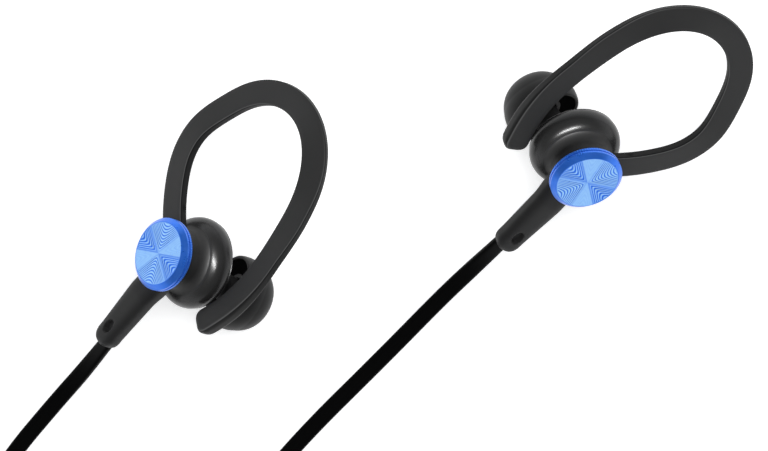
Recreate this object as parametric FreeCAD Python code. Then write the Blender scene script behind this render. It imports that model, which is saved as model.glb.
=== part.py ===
"""Neckband sport earphones: two ear-hook earpieces joined by one flat cable with an inline control box.

Millimetres, +Z up. The earphones lie on the plane Z = 0 and the origin is under the middle of the
two earpieces and the control box. Each earpiece is modelled once in its own frame, with the middle of
the cap's face as its origin, x towards the back of the ear, y up the stem and z out of the cap. It is
then turned into the attitude in which it lies, and the right one is the left one's mirror image.
"""
import FreeCAD, Part
from FreeCAD import Placement, Rotation, Vector
import math
import os

X, Y, Z = Vector(1, 0, 0), Vector(0, 1, 0), Vector(0, 0, 1)

# How the earpieces lie
left_cap_at = Vector(-43.7, 30.4, 15.75)    # middle of the left cap's face
right_cap_at = Vector(27.6, 42.1, 15.75)
cap_heading = 165.0                         # way that the left cap faces, degrees from +X
cap_tilt = 45.5                             # lean of the cap's axis away from +Z
stem_turn = 148.0                           # turn of the stem about the cap's axis
mirror_heading = 227.0                      # upright plane between the two mirror images

# Fits
seat_gap = 0.05                             # glued or pushed-in pieces, per side
slip = 0.07                                 # running clearance, per side
joint_line = 0.05                           # seam between two shells

# Cap
cap_radius = 6.15
cap_face_radius = 5.1
cap_chamfer_depth = 0.75
cap_thickness = 2.0
cap_groove = 0.15                           # fine groove round the side wall
cap_groove_drop = 0.45                      # chamfer to the groove
cap_groove_width = 0.2
cap_spigot_depth = 0.9

# Housing: a neck behind the cap that flares into a round body
neck_radius = 5.0
neck_bore_radius = 4.0
neck_length = 2.4                           # straight part of the neck
body_radius = 7.75
body_roll = 2.6                             # radius of the rounded rim
body_depth = 8.8                            # cap face to the fullest section
seam_depth = 9.9
shell_wall = 0.95
shell_front_depth = 12.2
lip_height = 0.6

# Driver
driver_radius = 5.05
driver_depth = 2.7
driver_wall = 0.6
diaphragm_thickness = 0.15
yoke_radius = 3.3
yoke_wall = 0.4
magnet_radius = 2.1
magnet_thickness = 1.2
coil_radius = 2.65
coil_wall = 0.3

# Nozzle and eartip
nozzle_lean = 20.0                          # degrees from straight out of the front
nozzle_offset = Vector(3.97, -0.84, -14.9)  # middle of the seated eartip's rim
nozzle_radius = 2.35
nozzle_bore_radius = 1.6
nozzle_reach = 6.0                          # beyond the eartip's rim
nozzle_neck_cut = 0.2                       # groove that leaves a lip at the end
nozzle_lip = 1.0
mesh_thickness = 0.2
tip_rim_radius = 6.1
tip_radius = 6.4
tip_height = 7.3
tip_wall = 0.55
tip_core_wall = 0.75

# Ear hook
hook_width = 4.3
hook_thickness = 1.5
hook_corner = 0.45
hook_end_width = 4.4
hook_end_thickness = 3.0
hook_end_corner = 1.35
hook_end_start = 0.8                        # share of the length where the end starts to thicken
hook_twist = -26.0                          # turn of the band behind the ear, degrees
hook_pivot_at = 5.7                         # along the hook's middle line
hook_stub_gap = 0.35
hook_anchor = 0.3
hook_anchor_depth = 0.5
hook_stations = 30
hook_beside_body = 3.85                     # body's side to the hook's middle line in front of it
hook_tip_inset = 2.4                        # the tip's turn back over the body
hook_line = [
    (-2.2, 1.4, -4.3), (-6.7, 4.5, -4.3), (-10.8, 8.0, -4.6), (-13.8, 11.4, -5.2), (-15.5, 16.0, -6.1),
    (-14.6, 21.6, -7.1), (-12.4, 26.8, -7.7), (-8.0, 31.2, -8.2), (-2.0, 32.9, -8.6), (3.6, 31.6, -8.8),
    (8.2, 27.4, -9.0), (10.8, 21.6, -9.0), (12.1, 13.6, -9.0), (12.5, 6.0, -9.0),
    (body_radius + hook_beside_body, 0.2, -9.0),
    (body_radius + hook_beside_body - hook_tip_inset, -6.0, -9.0),
]

# Stem
stem_length = 19.1                          # cap's axis to the stem's end
stem_root_width = 6.2
stem_end_width = 4.5
stem_thickness = 3.2
stem_depth = 3.75                           # cap face to the stem's middle
stem_round = 1.0
dimple_length = 2.7
dimple_width = 1.6
dimple_depth = 0.45
dimple_from_end = 2.6
wire_channel_radius = 0.8
wire_radius = 0.25
wire_spacing = 0.7

# Flat cable
cord_width = 2.8
cord_thickness = 1.2
cord_pocket = 1.5
cord_slot_gap = 0.2
left_route = [
    (-51.29, 16.98, 6.47), (-55.91, 11.2, 3.45), (-60.8, 5.8, 0.62), (-69.4, -4.4, 0.62), (-77.0, -17.5, 0.62),
    (-79.8, -30.5, 0.62), (-79.0, -42.5, 0.62), (-75.0, -54.0, 0.62), (-68.6, -61.6, 1.1), (-61.8, -64.7, 2.6),
    (-55.8, -64.7, 2.6),
]
right_route = [
    (14.74, 33.59, 6.47), (9.3, 28.56, 3.44), (3.6, 23.2, 0.62), (-6.2, 13.2, 0.62), (-20.6, -1.0, 0.62),
    (-30.0, -12.5, 0.62), (-31.5, -25.0, 0.62), (-24.0, -34.0, 0.62), (-11.5, -36.3, 0.62), (6.0, -33.6, 0.9),
    (22.5, -33.25, 1.8),
]
tail_route = [                              # from the coil to the control box
    (22.5, -66.7, 4.65), (17.5, -66.3, 3.9), (11.2, -64.7, 2.6), (5.2, -64.7, 2.6),
]

# Coil of the right cable, wound on edge in two layers, and its tie
coil_at = Vector(24.0, -50.0, 0)
coil_turn_radius = 15.5
coil_pitch = 1.4
coil_layer_turns = 1.75
coil_layers = 2
tie_thickness = 0.4
tie_width = 5.0
tie_gap = 0.1

# Control box
box_at = Vector(-25.3, -64.7, 0)
box_length = 45.0
box_width = 12.5
box_height = 8.0
box_wall = 1.0
box_round = 2.2
box_split = 4.0
boot_length = 8.0
boot_height = 2.6                           # surface to the cable's middle at the boot
boot_root = (5.4, 4.2)
boot_end = (3.8, 2.4)
boot_flange = 0.8
board_size = (38.0, 9.6, 0.8)
board_base = 4.3
battery_size = (24.0, 9.0, 2.9)
battery_at = -4.4
button_length = 5.6
button_width = 4.0
button_pitch = 8.6
button_proud = 0.5
button_travel = 0.3
button_flange = 0.5
button_flange_depth = 0.6                   # room for the flange under the top shell
button_edge_round = 0.3
switch_size = (3.0, 3.0, 0.9)
switch_stub_radius = 0.7
socket_size = (7.6, 5.2, 2.6)
socket_at = 12.0                            # from the box's middle
cover_length = 10.0
cover_height = 3.6
cover_thickness = 0.8
cover_pin_radius = 0.4
cover_opening = 95.0                        # degrees
light_radius = 0.6
light_at = -15.5
microphone_size = (3.0, 2.0, 0.9)
microphone_at = 17.0
microphone_hole = 0.5


def outline(start, *steps):
    """Closed face in the XZ plane: a pair of numbers ends a line, two pairs are an arc's middle and end."""
    edges, here = [], Vector(start[0], 0, start[1])
    for step in steps:
        if isinstance(step[0], tuple):
            middle, end = (Vector(r, 0, h) for r, h in step)
            edges.append(Part.Arc(here, middle, end).toShape())
        else:
            end = Vector(step[0], 0, step[1])
            edges.append(Part.LineSegment(here, end).toShape())
        here = end
    edges.append(Part.LineSegment(here, Vector(start[0], 0, start[1])).toShape())
    return Part.Face(Part.Wire(edges))


def turned(start, *steps):
    return outline(start, *steps).revolve(Vector(), Z, 360)


def ring(outer, inner, low, high):
    """Round plate or tube on the z axis between two heights."""
    body = Part.makeCylinder(outer, high - low, Vector(0, 0, low))
    if inner > 0:
        body = body.cut(Part.makeCylinder(inner, high - low, Vector(0, 0, low)))
    return body


def block(size, base):
    """Box centred on x and y over a base point."""
    length, width, height = size
    return Part.makeBox(length, width, height, base - Vector(length / 2, width / 2, 0))


def rounded_section(centre, across, up, width, height, corner):
    """Rounded rectangle wire about a centre, its width along one direction and its height along another."""
    def at(a, b):
        return centre + across * a + up * b
    w, h, slant = width / 2, height / 2, corner * (1 - math.sqrt(0.5))
    edges = []
    for sa, sb, flat in ((1, 1, 0), (-1, 1, 1), (-1, -1, 0), (1, -1, 1)):
        near = at(sa * w, sb * (h - corner))
        far = at(sa * (w - corner), sb * h)
        middle = at(sa * (w - slant), sb * (h - slant))
        first, last = (near, far) if flat == 0 else (far, near)
        edges.append(Part.Arc(first, middle, last).toShape())
        if flat == 0:
            edges.append(Part.LineSegment(last, at(-sa * (w - corner), sb * h)).toShape())
        else:
            edges.append(Part.LineSegment(last, at(sa * w, -sb * (h - corner))).toShape())
    return Part.Wire(edges)


def rounded_block(size, base, radius):
    body = block(size, base)
    return body.makeFillet(radius, body.Edges)


def bent_path(points):
    """Straight runs joined by tangent arcs, each as large as its two runs allow, and the arcs' radii."""
    edges, radii, here = [], [], points[0]
    for before, corner, after in zip(points, points[1:], points[2:]):
        back = (before - corner).normalize()
        on = (after - corner).normalize()
        half_turn = (math.pi - back.getAngle(on)) / 2
        reach = 0.45 * min((before - corner).Length, (after - corner).Length)
        radius = reach / math.tan(half_turn)
        inward = (back + on).normalize()
        middle = corner + inward * (math.hypot(radius, reach) - radius)
        edges.append(Part.LineSegment(here, corner + back * reach).toShape())
        edges.append(Part.Arc(corner + back * reach, middle, corner + on * reach).toShape())
        here = corner + on * reach
        radii.append(radius)
    edges.append(Part.LineSegment(here, points[-1]).toShape())
    return Part.Wire(edges), radii


def wire_tube(points, radius):
    path, radii = bent_path([Vector(*p) for p in points])
    start = path.Edges[0]
    along = start.tangentAt(start.FirstParameter)
    circle = Part.Wire(Part.makeCircle(radius, start.firstVertex().Point, along))
    return path.makePipeShell([circle], True, True)


# ---------------------------------------------------------------- earpiece, in its own frame

def cap():
    edge = cap_radius
    side_top, side_low = -cap_chamfer_depth, -cap_thickness
    groove_top = side_top - cap_groove_drop
    groove_low = groove_top - cap_groove_width
    spigot = neck_bore_radius - seat_gap
    return turned((0, 0), (cap_face_radius, 0), (edge, side_top), (edge, groove_top),
                  (edge - cap_groove, groove_top), (edge - cap_groove, groove_low), (edge, groove_low),
                  (edge, side_low + cap_groove), (edge - cap_groove, side_low), (spigot, side_low),
                  (spigot, side_low - cap_spigot_depth), (0, side_low - cap_spigot_depth))


def rim_point(angle):
    """Point of the body's rounded rim, at an angle above its fullest section."""
    middle = body_radius - body_roll
    return (middle + body_roll * math.cos(math.radians(angle)),
            -body_depth + body_roll * math.sin(math.radians(angle)))


def seam_radius():
    drop = seam_depth - body_depth
    return body_radius - body_roll + math.sqrt(body_roll ** 2 - drop ** 2)


def cavity_radius():
    return seam_radius() - shell_wall


def rear_shell():
    neck_end = -cap_thickness - neck_length
    rim_start, rim_middle = rim_point(75), rim_point(30)
    flare = (neck_radius + 0.25 * (rim_start[0] - neck_radius), neck_end + 0.62 * (rim_start[1] - neck_end))
    seam = (seam_radius(), -seam_depth)
    inner_top = rim_start[1] - shell_wall
    shell = turned((neck_bore_radius, -cap_thickness), (neck_radius, -cap_thickness),
                   (neck_radius, neck_end), (flare, rim_start), (rim_middle, (body_radius, -body_depth)),
                   (rim_point(-12), seam), (cavity_radius(), -seam_depth),
                   (cavity_radius(), inner_top - 0.5), (neck_bore_radius, inner_top + 0.3))
    channel = Part.makeCylinder(wire_channel_radius, neck_radius, Vector(0, 0, -stem_depth), -Y)
    return shell.cut(channel).cut(hook_band(0, hook_pivot_at - hook_stub_gap, seat_gap))


def nozzle_turn():
    """Placement of the nozzle's frame: z out of the nozzle, from the middle of the seated eartip's rim."""
    return Placement(nozzle_offset, Rotation(Y, 180 - nozzle_lean))


def placed(shape, placement):
    moved = shape.copy()
    moved.Placement = placement.multiply(moved.Placement)
    return moved


def front_shell():
    top = -seam_depth - joint_line
    edge = seam_radius()
    front = -shell_front_depth
    lip_radius = cavity_radius() - seat_gap
    seat = driver_radius + seat_gap
    floor = diaphragm_front() - seat_gap
    body = turned((edge, top), (rim_point(-60), (nozzle_radius + 2.6, front)), (0, front - 0.7),
                  (0, floor - 0.4), (nozzle_radius + 1.0, floor - 0.2), (seat - 0.7, floor), (seat, floor),
                  (seat, top + lip_height), (lip_radius, top + lip_height), (lip_radius, top))
    base = -4.0
    tube = ring(nozzle_radius, 0, base, nozzle_reach)
    tube = tube.cut(ring(nozzle_radius + 1, nozzle_radius - nozzle_neck_cut, 0.4, nozzle_reach - nozzle_lip))
    bore = ring(nozzle_bore_radius, 0, base - 1, nozzle_reach + 1)
    inside = Part.makeCylinder(seat, 6, Vector(0, 0, floor))
    tube = placed(tube, nozzle_turn()).cut(inside)
    return body.fuse(tube).removeSplitter().cut(placed(bore, nozzle_turn()))


def nozzle_mesh():
    radius = nozzle_bore_radius - 0.02
    high = nozzle_reach - 0.3
    return placed(ring(radius, 0, high - mesh_thickness, high), nozzle_turn())


def driver_back():
    return -seam_depth - joint_line + lip_height - 0.1 + driver_depth - 1.2


def driver_front():
    return driver_back() - driver_depth


def diaphragm_front():
    return driver_front() - diaphragm_thickness


def driver_frame():
    back, front = driver_back(), driver_front()
    frame = ring(driver_radius, driver_radius - driver_wall, front, back)
    plate = ring(driver_radius, yoke_radius + seat_gap, back - driver_wall, back)
    return frame.fuse(plate).removeSplitter()


def driver_yoke():
    back = driver_back() + 0.2
    cup = ring(yoke_radius, 0, driver_front() + 0.5, back)
    return cup.cut(ring(yoke_radius - yoke_wall, 0, driver_front() + 0.5, back - yoke_wall))


def driver_magnet():
    top = driver_back() + 0.2 - yoke_wall
    return ring(magnet_radius, 0, top - magnet_thickness, top)


def voice_coil():
    return ring(coil_radius, coil_radius - coil_wall, driver_front(), driver_front() + 1.4)


def diaphragm():
    front, back = diaphragm_front(), driver_front()
    return turned((0, back), (coil_radius, back), (driver_radius - 0.1, back), (driver_radius - 0.1, front),
                  (coil_radius, front), (0, front))


def eartip():
    """Silicone mushroom: a thin skirt folded back over a core that grips the nozzle."""
    bore = nozzle_radius + slip
    core = bore + tip_core_wall
    full = (tip_radius - 0.55, 0.53 * tip_height)
    shoulder = (0.7 * tip_radius, 0.84 * tip_height)
    mouth = bore - 0.2
    inner_full = (full[0] - tip_wall, full[1] - 0.1)
    crown = tip_height - 1.6
    profile = outline((tip_rim_radius, 0), ((tip_radius - 0.04, 0.26 * tip_height), full),
                      (shoulder, (mouth + 0.3, tip_height)), (bore, tip_height - 0.2), (bore, 0.8),
                      (core, 0.8), (core, crown), ((0.62 * tip_radius, crown - 0.3), inner_full),
                      ((tip_radius - 0.04 - tip_wall, 0.26 * tip_height), (tip_rim_radius - tip_wall, 0)))
    return placed(profile.revolve(Vector(), Z, 360), nozzle_turn())


def ramp(share, stops):
    """Value at a share of the length, eased between (share, value) stops."""
    for (start, low), (end, high) in zip(stops, stops[1:]):
        if share <= end:
            t = max(0.0, (share - start) / (end - start))
            return low + (high - low) * t * t * (3 - 2 * t)
    return stops[-1][1]


def hook_curve():
    curve = Part.BSplineCurve()
    curve.interpolate([Vector(*p) for p in hook_line])
    return curve


def hook_frame(curve, distance, share):
    """Middle, width direction and thickness direction of the band at a distance along it."""
    parameter = curve.parameterAtDistance(distance, curve.FirstParameter)
    along = curve.tangent(parameter)[0].normalize()
    flat = (Z - along * Z.dot(along)).normalize()
    twist = ramp(share, [(0, 0), (0.42, 0), (0.6, hook_twist), (0.7, hook_twist * 0.4), (0.8, 0), (1, 0)])
    normal = Rotation(along, twist).multVec(flat)
    return curve.value(parameter), along.cross(normal), normal


def hook_band(start, end, grow=0.0, stations=4, rounded=False):
    """Loft of the band between two distances; a rounded one closes to a blunt tip."""
    curve = hook_curve()
    total = curve.length()
    steps = [start + (end - start) * i / (stations - 1) for i in range(stations)]
    sizes = [1.0] * stations
    if rounded:
        blunt = hook_end_thickness / 2
        steps = [start + (end - blunt - start) * i / (stations - 1) for i in range(stations)]
        for angle in (35, 60, 80):
            steps.append(end - blunt + blunt * math.sin(math.radians(angle)))
            sizes.append(math.cos(math.radians(angle)))
    sections = []
    for distance, size in zip(steps, sizes):
        share = distance / total
        centre, across, normal = hook_frame(curve, distance, share)
        width = ramp(share, [(0, hook_width), (hook_end_start, hook_width), (0.93, hook_end_width),
                             (1, hook_end_width)])
        thick = ramp(share, [(0, hook_thickness), (hook_end_start, hook_thickness),
                             (0.95, hook_end_thickness), (1, hook_end_thickness)])
        corner = ramp(share, [(0, hook_corner), (hook_end_start, hook_corner), (0.95, hook_end_corner),
                              (1, hook_end_corner)])
        trim = hook_end_thickness * (1 - size)
        sections.append(rounded_section(centre, across, normal, width - trim + 2 * grow,
                                        thick * size + 2 * grow, corner * size))
    return Part.makeLoft(sections, True)


def hook_pivot(radius, extra=0.0):
    """Round bar across the band at the hook's bending line."""
    centre, across, _ = hook_frame(hook_curve(), hook_pivot_at, 0)
    length = hook_width + 2 * extra
    return Part.makeCylinder(radius, length, centre - across * (length / 2), across)


def hook_root():
    stub = hook_band(0, hook_pivot_at - hook_stub_gap)
    anchor = hook_band(0, hook_anchor_depth, hook_anchor)
    return stub.fuse(anchor).removeSplitter().cut(hook_pivot(hook_thickness / 2 + slip, 1))


def hook_arm():
    total = hook_curve().length()
    arm = hook_band(hook_pivot_at, total, stations=hook_stations, rounded=True)
    return arm.fuse(hook_pivot(hook_thickness / 2 - 0.02)).removeSplitter()


def stem():
    """Tapered soft stem with a rounded end, a finger dimple and the flat cable's pocket."""
    root, end = stem_root_width / 2, stem_end_width / 2
    straight_end = -(stem_length - end)
    low, top = -stem_depth - stem_thickness / 2, stem_thickness
    start = -neck_radius * 0.5
    edges = [Part.LineSegment(Vector(root, start, low), Vector(end, straight_end, low)).toShape(),
             Part.Arc(Vector(end, straight_end, low), Vector(0, -stem_length, low),
                      Vector(-end, straight_end, low)).toShape(),
             Part.LineSegment(Vector(-end, straight_end, low), Vector(-root, start, low)).toShape(),
             Part.LineSegment(Vector(-root, start, low), Vector(root, start, low)).toShape()]
    body = Part.Face(Part.Wire(edges)).extrude(Vector(0, 0, top))
    long_edges = [e for e in body.Edges if abs(e.BoundBox.ZLength) < 0.01 and e.BoundBox.YMin < start - 1]
    body = body.makeFillet(stem_round, long_edges)
    body = body.cut(Part.makeCylinder(neck_radius, 20, Vector(0, 0, -15))).cut(rear_shell())
    dimple = Part.makeSphere(1.0, Vector())
    stretch = FreeCAD.Matrix()
    stretch.scale(dimple_width / 2, dimple_length / 2, dimple_depth)
    dimple = dimple.transformGeometry(stretch)
    dimple.translate(Vector(0, -stem_length + dimple_from_end, -stem_depth + stem_thickness / 2))
    pocket = block((cord_width + 2 * cord_slot_gap, 2 * cord_pocket, cord_thickness + 2 * cord_slot_gap),
                   Vector(0, -stem_length, -stem_depth - cord_thickness / 2 - cord_slot_gap))
    channel = Part.makeCylinder(wire_channel_radius, stem_length, Vector(0, 0, -stem_depth), -Y)
    return body.cut(dimple).cut(pocket).cut(channel)


def lead_wires():
    """Pair of insulated wires from the cable's end to the back of the driver."""
    wires = []
    for side in (-1, 1):
        x = side * wire_spacing / 2
        turn = -neck_bore_radius * 0.55
        wires.append(wire_tube([(x, -stem_length + cord_pocket, -stem_depth), (x, turn, -stem_depth),
                                (x, turn, driver_back() + 0.25)], wire_radius))
    return Part.makeCompound(wires)


# ---------------------------------------------------------------- control box

def box_shell(low, high):
    outside = rounded_block((box_length, box_width, box_height), box_at, box_round)
    inner = (box_length - 2 * box_wall, box_width - 2 * box_wall, box_height - 2 * box_wall)
    inside = rounded_block(inner, box_at + Z * box_wall, box_round - box_wall)
    slab = block((box_length + 2, box_width + 2, high - low), box_at + Z * low)
    return outside.cut(inside).common(slab)


def boot_hole():
    return block((box_length + 2, boot_root[0] - 2 * boot_flange, boot_root[1] - 2 * boot_flange + 0.6),
                 box_at + Z * (boot_height - boot_root[1] / 2 + boot_flange - 0.3))


def socket_base():
    return board_base - socket_size[2]


def port_cut():
    length, depth, height = socket_size
    gap = 0.15
    return block((length + 2 * gap, 2 * box_wall + 2, height + 2 * gap),
                 box_at + Vector(socket_at, -box_width / 2, socket_base() - gap))


def cover_recess():
    """Shallow recess in the long side for the rubber cover, with a groove for its pin."""
    height = cover_height + 2 * slip
    corner = box_at + Vector(socket_at - cover_length / 2 - slip, -box_width / 2 - 1, cover_low() - slip)
    recess = Part.makeBox(cover_length + 2 * slip, cover_thickness + slip + 1, height, corner)
    groove = Part.makeCylinder(cover_pin_radius + slip, cover_length + 2 * slip,
                               cover_pin_at() - X * (cover_length / 2 + slip), X)
    over = math.radians(cover_opening - 90)
    rise = (cover_thickness - cover_pin_radius) / math.cos(over) + cover_pin_radius * math.tan(over)
    relief = Part.makeBox(cover_length + 2 * slip, cover_pin_radius + 1, rise + 2 * slip,
                          cover_pin_at() - X * (cover_length / 2 + slip) - Y * (cover_pin_radius + 1))
    return recess.fuse(groove).fuse(relief)


def cover_low():
    return socket_base() + socket_size[2] / 2 - cover_height / 2


def cover_pin_at():
    return box_at + Vector(socket_at, -box_width / 2 + cover_pin_radius, cover_low() + cover_height)


def port_cover():
    plate = Part.makeBox(cover_length, cover_thickness, cover_height,
                         box_at + Vector(socket_at - cover_length / 2, -box_width / 2, cover_low()))
    pin = Part.makeCylinder(cover_pin_radius, cover_length, cover_pin_at() - X * (cover_length / 2), X)
    return plate.fuse(pin).removeSplitter()


def button_places():
    return {"minus_button": -button_pitch, "main_button": 0.0, "plus_button": button_pitch}


def pill(length, width, height, base):
    body = block((length, width, height), base)
    upright = [e for e in body.Edges if e.BoundBox.ZLength > height * 0.9]
    return body.makeFillet(width / 2 - 0.01, upright)


def button(offset):
    """Key with a flange that keeps it under the top shell."""
    under = box_height - box_wall
    base = box_at + Vector(offset, 0, under - button_flange_depth)
    key = pill(button_length, button_width, box_wall + button_flange_depth + button_proud, base)
    top = [e for e in key.Edges if e.BoundBox.ZMin > box_height + button_proud - 0.01]
    key = key.makeFillet(button_edge_round, top)
    flange_base = button_flange_depth / 6
    flange = pill(button_length + 2 * button_flange, button_width + 2 * button_flange,
                  button_flange_depth - flange_base - slip, base + Z * flange_base)
    return key.fuse(flange).removeSplitter()


def tact_switches():
    top = box_height - box_wall - button_flange_depth - button_travel - 0.03
    base = board_base + board_size[2]
    keys = []
    for offset in button_places().values():
        body = block(switch_size, box_at + Vector(offset, 0, base))
        stub_base = box_at + Vector(offset, 0, base + switch_size[2])
        stub = Part.makeCylinder(switch_stub_radius, top - base - switch_size[2], stub_base)
        keys.append(body.fuse(stub).removeSplitter() if top > base + switch_size[2] else body)
    return Part.makeCompound(keys)


def top_shell():
    shell = box_shell(box_split + joint_line / 2, box_height)
    for offset in button_places().values():
        shell = shell.cut(pill(button_length + 2 * slip, button_width + 2 * slip, 3,
                               box_at + Vector(offset, 0, box_height - 2)))
    for radius, at in ((light_radius + 0.02, light_at), (microphone_hole, microphone_at)):
        shell = shell.cut(Part.makeCylinder(radius, 3, box_at + Vector(at, 0, box_height - 2)))
    return shell.cut(boot_hole()).cut(port_cut()).cut(cover_recess())


def bottom_shell():
    shell = box_shell(0, box_split - joint_line / 2)
    ledge_height = board_base - box_wall
    inner = box_width / 2 - box_wall
    for side in (-1, 1):
        for end in (-1, 1):
            post = block((2.0, 1.2, ledge_height), box_at + Vector(end * (board_size[0] / 2 - 1.4),
                                                                  side * (inner - 0.65), box_wall))
            shell = shell.fuse(post)
    return shell.removeSplitter().cut(boot_hole()).cut(port_cut()).cut(cover_recess())


def boot(end):
    """Tapered strain relief at one end of the control box, end is -1 or 1."""
    face = box_at + Vector(end * box_length / 2, 0, boot_height)
    sections = []
    for reach, (width, height) in ((0, boot_root), (boot_length, boot_end)):
        sections.append(rounded_section(face + X * (end * reach), Y, Z, width, height, height * 0.45))
    body = Part.makeLoft(sections, True)
    plug = rounded_section(face - X * (end * (box_wall + 0.6)), Y, Z, boot_root[0] - 2 * boot_flange - 0.1,
                           boot_root[1] - 2 * boot_flange - 0.1, 0.4)
    plug = Part.Face(plug).extrude(X * (end * (box_wall + 0.6)))
    return body.fuse(plug).removeSplitter()


def circuit_board():
    return block(board_size, box_at + Z * board_base)


def battery():
    return block(battery_size, box_at + Vector(battery_at, 0, box_wall + 0.1))


def charging_socket():
    """Sheet-metal socket under the board, open towards the cover."""
    length, depth, height = socket_size
    front = -box_width / 2 + cover_thickness + 0.3
    base = box_at + Vector(socket_at, front + depth / 2, socket_base())
    hollow = block((length - 0.7, depth - 0.35, height - 0.7), base + Vector(0, -0.36, 0.35))
    tongue = block((length - 3.0, depth - 1.2, 0.6), base + Vector(0, 0.3, height / 2 - 0.3))
    return block(socket_size, base).cut(hollow).fuse(tongue).removeSplitter()


def light_pipe():
    base = board_base + board_size[2]
    return Part.makeCylinder(light_radius, box_height - base, box_at + Vector(light_at, 0, base))


def microphone():
    return block(microphone_size, box_at + Vector(microphone_at, 0, board_base + board_size[2]))


# ---------------------------------------------------------------- cable

def flat_cord(name, points):
    """Flat cable with its wide side up along a path; prints its bends and compares its volume."""
    path, radii = bent_path([Vector(*p) for p in points])
    start = path.Edges[0]
    along = start.tangentAt(start.FirstParameter)
    across = along.cross(Z).normalize()
    up = across.cross(along).normalize()
    section = rounded_section(start.firstVertex().Point, across, up, cord_width, cord_thickness, 0.5)
    tube = path.makePipeShell([section], True, False)
    expected = Part.Face(section).Area * path.Length
    print(f"{name}: length {path.Length:.1f} mm, volume / (section x length) = {tube.Volume / expected:.4f}, "
          f"radii {', '.join(f'{r:.1f}' for r in radii)}")
    return tube


def coil_half_depth():
    return (coil_layer_turns * coil_pitch + cord_thickness) / 2


def cord_coil():
    height = coil_layers * cord_width + 0.1
    return Part.makeCylinder(coil_turn_radius + coil_half_depth(), height, coil_at + Z * tie_thickness).cut(
        Part.makeCylinder(coil_turn_radius - coil_half_depth(), height, coil_at + Z * tie_thickness))


def cord_tie():
    """Soft strap round the coil's turns."""
    bow = tie_width ** 2 / (8 * (coil_turn_radius - coil_half_depth()))
    inside = (2 * coil_half_depth() + 2 * (tie_gap + bow), tie_width,
              coil_layers * cord_width + 0.1 + tie_gap)
    outside = (inside[0] + 2 * tie_thickness, tie_width, inside[2] + 2 * tie_thickness)
    at = coil_at + X * coil_turn_radius
    return block(outside, at).cut(block(inside, at + Z * tie_thickness))


# ---------------------------------------------------------------- assembly

def main():
    os.makedirs("parts", exist_ok=True)
    lie = Rotation(Z, cap_heading) * Rotation(Y, cap_tilt) * Rotation(Z, stem_turn)
    across = Vector(-math.sin(math.radians(mirror_heading)), math.cos(math.radians(mirror_heading)), 0)
    pieces = {"cap": cap(), "rear_shell": rear_shell(), "front_shell": front_shell(),
              "nozzle_mesh": nozzle_mesh(), "driver_frame": driver_frame(), "driver_yoke": driver_yoke(),
              "driver_magnet": driver_magnet(), "voice_coil": voice_coil(), "diaphragm": diaphragm(),
              "eartip": eartip(), "hook_root": hook_root(), "hook_arm": hook_arm(), "stem": stem(),
              "lead_wires": lead_wires()}
    nodes = {}
    for name, shape in pieces.items():
        left = placed(shape, Placement(left_cap_at, lie))
        right = left.mirror(left_cap_at, across)
        right.translate(right_cap_at - left_cap_at)
        nodes["left_" + name] = left
        nodes["right_" + name] = right
    nodes["control_top_shell"] = top_shell()
    nodes["control_bottom_shell"] = bottom_shell()
    nodes["left_cable_boot"] = boot(-1)
    nodes["right_cable_boot"] = boot(1)
    nodes["circuit_board"] = circuit_board()
    nodes["battery"] = battery()
    nodes["charging_socket"] = charging_socket()
    nodes["charging_port_cover"] = port_cover()
    nodes["tact_switches"] = tact_switches()
    nodes["light_pipe"] = light_pipe()
    nodes["microphone"] = microphone()
    for name, offset in button_places().items():
        nodes[name] = button(offset)
    nodes["left_cord"] = flat_cord("left_cord", left_route)
    nodes["right_cord"] = flat_cord("right_cord", right_route)
    nodes["right_cord_tail"] = flat_cord("right_cord_tail", tail_route)
    nodes["cord_coil"] = cord_coil()
    nodes["cord_tie"] = cord_tie()
    for name, shape in nodes.items():
        shape.exportStep(f"parts/{name}.step")


main()
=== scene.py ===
"""Neckband sport earphones lying on a pale surface, seen from straight above.

Metres in the scene, millimetres in each piece's own numbers. A piece is a smooth surface worked out from a
formula as one grid of points, and an earpiece's pieces are made once in the earpiece's own frame: the middle
of the cap's face is the origin, x towards the back of the ear, y up the stem and z out of the cap.
"""
import bmesh
import bpy
import math
import numpy as np
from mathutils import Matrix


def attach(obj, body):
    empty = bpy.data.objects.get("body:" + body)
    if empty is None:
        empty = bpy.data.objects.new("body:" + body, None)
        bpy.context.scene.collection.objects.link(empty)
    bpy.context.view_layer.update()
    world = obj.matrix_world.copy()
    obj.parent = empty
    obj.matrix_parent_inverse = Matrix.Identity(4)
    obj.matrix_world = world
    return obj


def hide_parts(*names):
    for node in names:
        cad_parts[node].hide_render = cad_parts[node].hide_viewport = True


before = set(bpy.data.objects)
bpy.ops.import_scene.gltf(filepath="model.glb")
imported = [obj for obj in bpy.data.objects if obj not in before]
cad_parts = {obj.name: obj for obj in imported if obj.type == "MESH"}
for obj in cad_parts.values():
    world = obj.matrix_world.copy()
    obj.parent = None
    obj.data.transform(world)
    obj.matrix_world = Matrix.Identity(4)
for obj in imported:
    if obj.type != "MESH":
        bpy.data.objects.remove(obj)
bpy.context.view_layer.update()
scene = bpy.context.scene
mm = 0.001
tau = 2 * math.pi

# ---------------------------------------------------------------- camera

view_centre = (-6.2, 35.0)
view_width = 128.0
focal_length = 600.0
sensor_width = 36.0
sharp_height = 8.0

camera_data = bpy.data.cameras.new("camera")
camera_data.lens = focal_length
camera_data.sensor_width = sensor_width
camera_data.clip_end = 20.0
camera = bpy.data.objects.new("camera", camera_data)
scene.collection.objects.link(camera)
camera.location = (view_centre[0] * mm, view_centre[1] * mm,
                   (sharp_height + view_width * focal_length / sensor_width) * mm)
scene.camera = camera

# ---------------------------------------------------------------- cable routes

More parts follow.
